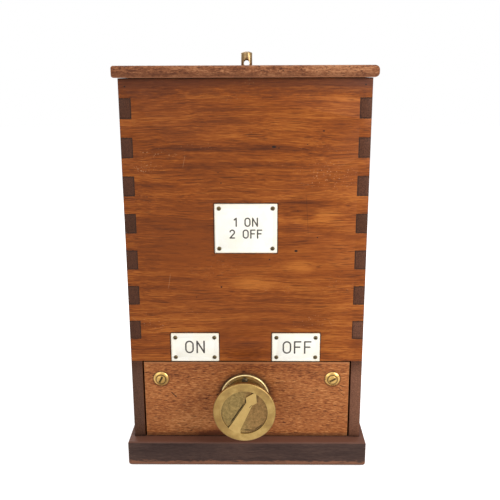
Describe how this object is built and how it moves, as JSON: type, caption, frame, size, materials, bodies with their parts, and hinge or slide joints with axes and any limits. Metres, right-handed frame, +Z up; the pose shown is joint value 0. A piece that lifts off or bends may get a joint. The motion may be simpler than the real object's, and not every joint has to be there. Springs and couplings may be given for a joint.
{
  "type": "railway signal box block switch",
  "caption": "Finger jointed mahogany case on a dark base with a lift-off lid, ivory plates and a brass pointer knob that turns a drum of contacts between two positions.",
  "frame": {"origin": "centre of the base board's underside, on the surface that the switch stands on", "axes": "+Z up, -Y out of the front with the knob, +Y out of the back with the cable hole, +X to the right seen from the front"},
  "size_m": [0.214, 0.2005, 0.3654],
  "materials": {
    "front_wood": "old waxed mahogany, horizontal grain",
    "side_wood": "dark waxed mahogany, level grain with dark end grain at the front edges and fingers",
    "panel_wood": "open grained mahogany, worn thin polish",
    "base_wood": "dark stained hardwood, worn along its lower edge",
    "lid_wood": "fine speckled hardwood, waxed",
    "deal": "bare softwood",
    "brass": "worn, handled brass",
    "dull_brass": "tarnished brass",
    "ivorine": "ivory plastic, slightly yellowed",
    "ebonite": "satin ebonite",
    "spring_bronze": "bright sprung bronze strip",
    "copper": "bare copper",
    "cotton": "waxed cotton covering"
  },
  "bodies": {
    "case": {"base_board": "base_wood", "base_screws": "dull_brass", "left_side_board": "side_wood", "right_side_board": "side_wood", "front_board": "front_wood", "back_board": "front_wood", "panel_screw_blocks": "deal", "rail_cleats": "deal", "lid_rail": "deal", "rail_screws": "dull_brass", "lock_stud": "brass", "stud_washer": "brass", "stud_nut": "brass", "lower_front_panel": "panel_wood", "panel_screw_cups": "brass", "panel_screws": "brass", "title_plate": "ivorine", "left_position_plate": "ivorine", "right_position_plate": "ivorine", "plate_screws": "dull_brass", "knob_flange": "brass", "flange_screws": "dull_brass", "stop_plate": "brass", "stop_plate_screws": "dull_brass", "stop_pegs": "brass", "rear_bearing": "brass", "rear_bearing_screws": "dull_brass", "left_spring_block": "ebonite", "right_spring_block": "ebonite", "spring_block_screws": "dull_brass", "left_contact_springs": "spring_bronze", "right_contact_springs": "spring_bronze", "contact_screws": "brass", "left_terminal_strip": "ebonite", "right_terminal_strip": "ebonite", "terminal_strip_screws": "dull_brass", "terminal_studs": "brass", "terminal_nuts": "brass", "thumb_nuts": "brass", "left_wires": "cotton", "right_wires": "cotton", "wire_loops": "copper"},
    "rotor": {"control_knob": "brass", "knob_pin": "dull_brass", "spindle": "brass", "stop_arm": "brass", "stop_arm_pin": "dull_brass", "contact_drum": "ebonite", "drum_pin": "dull_brass", "contact_segments": "brass", "segment_screws": "dull_brass", "thrust_collar": "brass", "collar_grub_screw": "dull_brass"},
    "lid": {"lid_board": "lid_wood", "lid_battens": "deal", "batten_screws": "dull_brass"}
  },
  "joints": [
    {"name": "knob_turn", "type": "hinge", "parent": "case", "child": "rotor", "pos_m": [-0.0015, -0.0795, 0.0638], "axis": [0, -1, 0], "range_deg": [0, 55]},
    {"name": "lid_lift", "type": "slide", "parent": "case", "child": "lid", "axis": [0, 0, 1], "range_m": [0, 0.1]}
  ]
}
